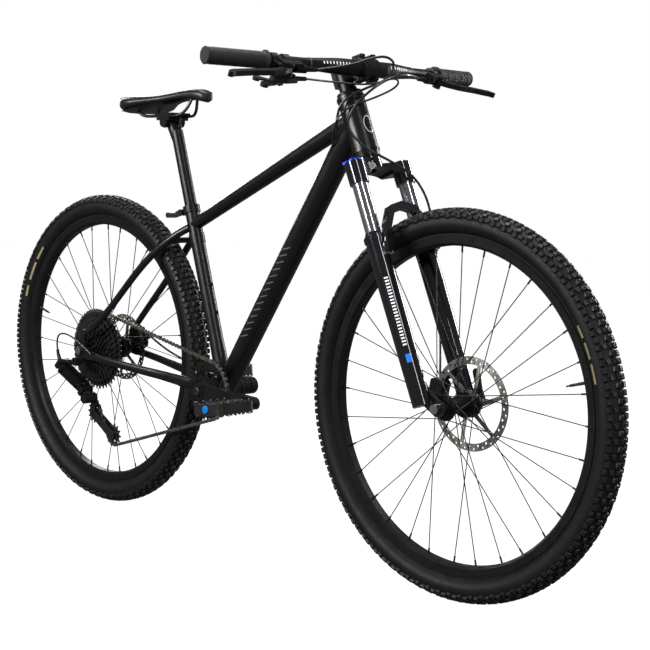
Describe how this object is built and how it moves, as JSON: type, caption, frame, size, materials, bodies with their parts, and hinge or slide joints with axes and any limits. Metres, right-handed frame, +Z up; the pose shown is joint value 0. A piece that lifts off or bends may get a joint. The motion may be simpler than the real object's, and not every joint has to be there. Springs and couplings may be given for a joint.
{
  "type": "hardtail mountain bike",
  "caption": "Hardtail mountain bike with disc brakes, suspension fork, single chainring and wide-range derailleur.",
  "frame": {"origin": "on the ground in the centre plane, midway between the axles", "axes": "+X forward, +Y rider's left, +Z up"},
  "size_m": [1.841, 0.7362, 1.0365],
  "materials": {
    "frame_paint": "satin",
    "black_alloy": "satin black",
    "gloss_black": "gloss",
    "chrome": "polished",
    "steel": "brushed",
    "black_steel": "black",
    "chain_steel": "oiled",
    "tyre_rubber": "matte",
    "soft_rubber": "matte",
    "black_plastic": "matte",
    "blue_anodised": "anodised",
    "saddle_cover": "satin"
  },
  "bodies": {
    "frame": {"head_tube": "frame_paint", "top_tube": "frame_paint", "down_tube": "frame_paint", "seat_tube": "frame_paint", "bottom_bracket_shell": "frame_paint", "chainstays": "frame_paint", "seatstays": "frame_paint", "headset_cups": "black_alloy", "bottom_bracket_cups": "black_alloy", "seat_collar": "black_alloy", "rear_axle": "steel", "frame_cables": "black_plastic", "rear_caliper": "black_alloy", "chain": "chain_steel", "derailleur_mount": "black_alloy"},
    "steering": {"fork_crown": "gloss_black", "stanchions": "chrome", "stem": "black_alloy", "handlebar": "black_alloy", "grips": "soft_rubber", "brake_masters": "black_alloy", "shifter_pod": "black_plastic", "front_brake_hose": "black_plastic"},
    "fork_lower": {"fork_lowers": "gloss_black", "front_caliper": "black_alloy", "front_axle": "steel"},
    "front_wheel": {"front_tyre": "tyre_rubber", "front_inner_tube": "soft_rubber", "front_rim": "black_alloy", "front_spokes": "black_steel", "front_hub": "black_alloy", "front_rotor": "steel"},
    "rear_wheel": {"rear_tyre": "tyre_rubber", "rear_inner_tube": "soft_rubber", "rear_rim": "black_alloy", "rear_spokes": "black_steel", "rear_hub": "black_alloy", "rear_rotor": "steel"},
    "cassette": {"cassette": "black_steel"},
    "crank": {"right_crank": "black_alloy", "left_crank": "black_alloy", "chainring": "black_steel"},
    "pedal_right": {"pedal_right": "black_plastic"},
    "pedal_left": {"pedal_left": "black_plastic"},
    "link_outer": {"derailleur_link_outer": "black_alloy"},
    "link_inner": {"derailleur_link_inner": "black_alloy"},
    "knuckle": {"derailleur_knuckle": "black_alloy"},
    "cage": {"derailleur_cage": "steel"},
    "jockey_upper": {"jockey_upper": "black_plastic"},
    "jockey_lower": {"jockey_lower": "black_plastic"},
    "seat": {"seatpost": "black_alloy", "saddle": "saddle_cover"},
    "seat_lever": {"seat_qr_lever": "steel"},
    "front_lever": {"front_axle_lever": "steel"},
    "rear_lever": {"rear_axle_lever": "steel"},
    "brake_lever_right": {"brake_lever_right": "black_alloy"},
    "brake_lever_left": {"brake_lever_left": "black_alloy"},
    "shift_main": {"shift_lever_main": "black_plastic"},
    "shift_release": {"shift_lever_release": "black_plastic"},
    "fork_knob": {"fork_knob": "blue_anodised"}
  },
  "joints": [
    {"name": "steering", "type": "hinge", "parent": "frame", "child": "steering", "pos_m": [0.27472, 0, 0.90333], "axis": [-0.3907, 0, 0.9205], "range_deg": [-60, 60], "deforming": ["frame_cables"]},
    {"name": "fork_travel", "type": "slide", "parent": "steering", "child": "fork_lower", "axis": [-0.3907, 0, 0.9205], "range_m": [0, 0.097], "stiffness_N_per_m": 7000, "springref_m": -0.012, "deforming": ["front_brake_hose"]},
    {"name": "front_wheel_spin", "type": "hinge", "parent": "fork_lower", "child": "front_wheel", "pos_m": [0.5515, 0, 0.369], "axis": [0, 1, 0], "continuous": true},
    {"name": "rear_wheel_spin", "type": "hinge", "parent": "frame", "child": "rear_wheel", "pos_m": [-0.5515, 0, 0.369], "axis": [0, 1, 0], "continuous": true},
    {"name": "crank_spin", "type": "hinge", "parent": "frame", "child": "crank", "pos_m": [-0.1105, 0, 0.324], "axis": [0, 1, 0], "continuous": true, "deforming": ["chain"]},
    {"name": "cassette_spin", "type": "hinge", "parent": "frame", "child": "cassette", "pos_m": [-0.5515, 0, 0.369], "axis": [0, 1, 0], "continuous": true},
    {"name": "pedal_right_spin", "type": "hinge", "parent": "crank", "child": "pedal_right", "pos_m": [0.0594, 0, 0.31807], "axis": [0, 1, 0], "continuous": true},
    {"name": "pedal_left_spin", "type": "hinge", "parent": "crank", "child": "pedal_left", "pos_m": [-0.2804, 0, 0.32993], "axis": [0, 1, 0], "continuous": true},
    {"name": "derailleur_shift", "type": "hinge", "parent": "frame", "child": "link_outer", "pos_m": [-0.6075, -0.092, 0.321], "axis": [0.7314, 0, 0.682], "range_deg": [-34, 2]},
    {"name": "derailleur_inner_link", "type": "hinge", "parent": "frame", "child": "link_inner", "pos_m": [-0.6075, -0.074, 0.321], "axis": [0.7314, 0, 0.682], "range_deg": [-34, 2]},
    {"name": "derailleur_knuckle_pivot", "type": "hinge", "parent": "link_outer", "child": "knuckle", "pos_m": [-0.56918, -0.0658, 0.2799], "axis": [0.7314, 0, 0.682], "range_deg": [-2, 34]},
    {"name": "derailleur_cage_swing", "type": "hinge", "parent": "knuckle", "child": "cage", "pos_m": [-0.5525, 0, 0.253], "axis": [0, 1, 0], "range_deg": [0, 60], "stiffness_Nm_per_rad": 0.35},
    {"name": "guide_wheel_spin", "type": "hinge", "parent": "cage", "child": "jockey_upper", "pos_m": [-0.5635, -0.026, 0.215], "axis": [0, 1, 0], "continuous": true},
    {"name": "tension_wheel_spin", "type": "hinge", "parent": "cage", "child": "jockey_lower", "pos_m": [-0.48579, -0.026, 0.16959], "axis": [0, 1, 0], "continuous": true},
    {"name": "saddle_height", "type": "slide", "parent": "frame", "child": "seat", "axis": [-0.3007, 0, 0.9537], "range_m": [-0.15, 0.07]},
    {"name": "seat_collar_lever", "type": "hinge", "parent": "frame", "child": "seat_lever", "pos_m": [-0.25548, -0.0094, 0.70399], "axis": [0, 1, 0], "range_deg": [0, 75]},
    {"name": "front_axle_lever", "type": "hinge", "parent": "fork_lower", "child": "front_lever", "pos_m": [0.5515, 0, 0.369], "axis": [0, 1, 0], "range_deg": [0, 180]},
    {"name": "rear_axle_lever", "type": "hinge", "parent": "frame", "child": "rear_lever", "pos_m": [-0.5515, 0, 0.369], "axis": [0, 1, 0], "range_deg": [-90, 180]},
    {"name": "brake_lever_right", "type": "hinge", "parent": "steering", "child": "brake_lever_right", "pos_m": [0.30303, -0.20796, 0.98531], "axis": [-0.4376, 0.0606, -0.8971], "range_deg": [0, 16], "stiffness_Nm_per_rad": 0.6, "springref_deg": -14.32},
    {"name": "brake_lever_left", "type": "hinge", "parent": "steering", "child": "brake_lever_left", "pos_m": [0.30303, 0.20796, 0.98531], "axis": [0.4376, 0.0606, 0.8971], "range_deg": [0, 16], "stiffness_Nm_per_rad": 0.6, "springref_deg": -14.32},
    {"name": "shift_paddle_main", "type": "hinge", "parent": "steering", "child": "shift_main", "pos_m": [0.27063, -0.19891, 0.96717], "axis": [0.4376, -0.0606, 0.8971], "range_deg": [0, 25], "stiffness_Nm_per_rad": 0.2, "springref_deg": -11.46},
    {"name": "shift_paddle_release", "type": "hinge", "parent": "steering", "child": "shift_release", "pos_m": [0.27063, -0.19891, 0.96717], "axis": [0.4376, -0.0606, 0.8971], "range_deg": [-14, 0], "stiffness_Nm_per_rad": 0.2, "springref_deg": 11.46},
    {"name": "fork_lockout_knob", "type": "hinge", "parent": "steering", "child": "fork_knob", "pos_m": [0.33383, -0.065, 0.81653], "axis": [-0.3907, 0, 0.9205], "range_deg": [0, 90]}
  ],
  "couplings": [
    {"joint": "cassette_spin", "follows": "crank_spin", "ratio": 0.69565},
    {"joint": "guide_wheel_spin", "follows": "crank_spin", "ratio": -2.6667},
    {"joint": "tension_wheel_spin", "follows": "crank_spin", "ratio": 2.6667},
    {"joint": "derailleur_inner_link", "follows": "derailleur_shift", "ratio": 1},
    {"joint": "derailleur_knuckle_pivot", "follows": "derailleur_shift", "ratio": -1}
  ]
}
